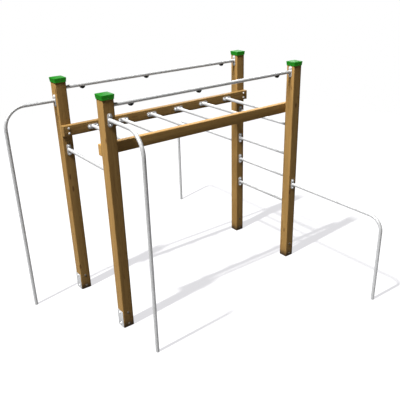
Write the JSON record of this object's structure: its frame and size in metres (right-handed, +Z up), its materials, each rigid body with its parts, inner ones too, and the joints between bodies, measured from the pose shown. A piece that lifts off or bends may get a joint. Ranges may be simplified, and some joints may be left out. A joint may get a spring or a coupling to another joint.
{
  "type": "monkey bars",
  "caption": "Timber playground climbing frame: square capped posts, overhead rungs between two beams, an end ladder, top bars with hanging lugs, climbing poles and low turning bars.",
  "frame": {"origin": "on the ground, in the middle of the whole object seen from above, between the outermost pole, bars and post faces", "axes": "+X runs along the beams from the climbing-pole end to the ladder end, +Y runs across them from the front side to the rear side, +Z is up"},
  "size_m": [3.1784, 3.89, 2.557],
  "materials": {
    "timber": "planed and stained, matt",
    "galvanised_steel": "hot-dip galvanised, satin",
    "zinc_fastener": "zinc plated",
    "cap_plastic": "moulded, slight gloss",
    "black_steel": "powder coated, satin black"
  },
  "bodies": {
    "root": {"anchor_bolt_washers": "zinc_fastener", "anchor_bolts": "zinc_fastener", "anchor_front_left": "galvanised_steel", "anchor_front_right": "galvanised_steel", "anchor_nuts": "zinc_fastener", "anchor_rear_left": "galvanised_steel", "anchor_rear_right": "galvanised_steel", "anchor_screw_washers": "zinc_fastener", "anchor_screws": "zinc_fastener", "beam_front": "timber", "beam_rear": "timber", "beam_screws": "zinc_fastener", "beam_washers": "zinc_fastener", "bent_bar_screws": "zinc_fastener", "bent_bar_washers": "zinc_fastener", "cap_front_left": "cap_plastic", "cap_front_right": "cap_plastic", "cap_rear_left": "cap_plastic", "cap_rear_right": "cap_plastic", "cap_screws": "zinc_fastener", "climbing_pole_front": "galvanised_steel", "climbing_pole_left": "galvanised_steel", "end_rung": "galvanised_steel", "hanging_lug_front_left": "black_steel", "hanging_lug_front_middle": "black_steel", "hanging_lug_front_right": "black_steel", "hanging_lug_rear_left": "black_steel", "hanging_lug_rear_middle": "black_steel", "hanging_lug_rear_right": "black_steel", "ladder_rung_1": "galvanised_steel", "ladder_rung_2": "galvanised_steel", "ladder_rung_3": "galvanised_steel", "ladder_rung_4": "galvanised_steel", "ladder_rung_screws": "zinc_fastener", "ladder_rung_washers": "zinc_fastener", "overhead_rung_1": "galvanised_steel", "overhead_rung_2": "galvanised_steel", "overhead_rung_3": "galvanised_steel", "overhead_rung_4": "galvanised_steel", "overhead_rung_5": "galvanised_steel", "overhead_rung_6": "galvanised_steel", "overhead_rung_screws": "zinc_fastener", "overhead_rung_washers": "zinc_fastener", "post_front_left": "timber", "post_front_right": "timber", "post_rear_left": "timber", "post_rear_right": "timber", "top_bar_front": "galvanised_steel", "top_bar_rear": "galvanised_steel", "top_bar_screws": "zinc_fastener", "top_bar_washers": "zinc_fastener", "turning_bar_front": "galvanised_steel", "turning_bar_rear": "galvanised_steel"}
  },
  "joints": []
}
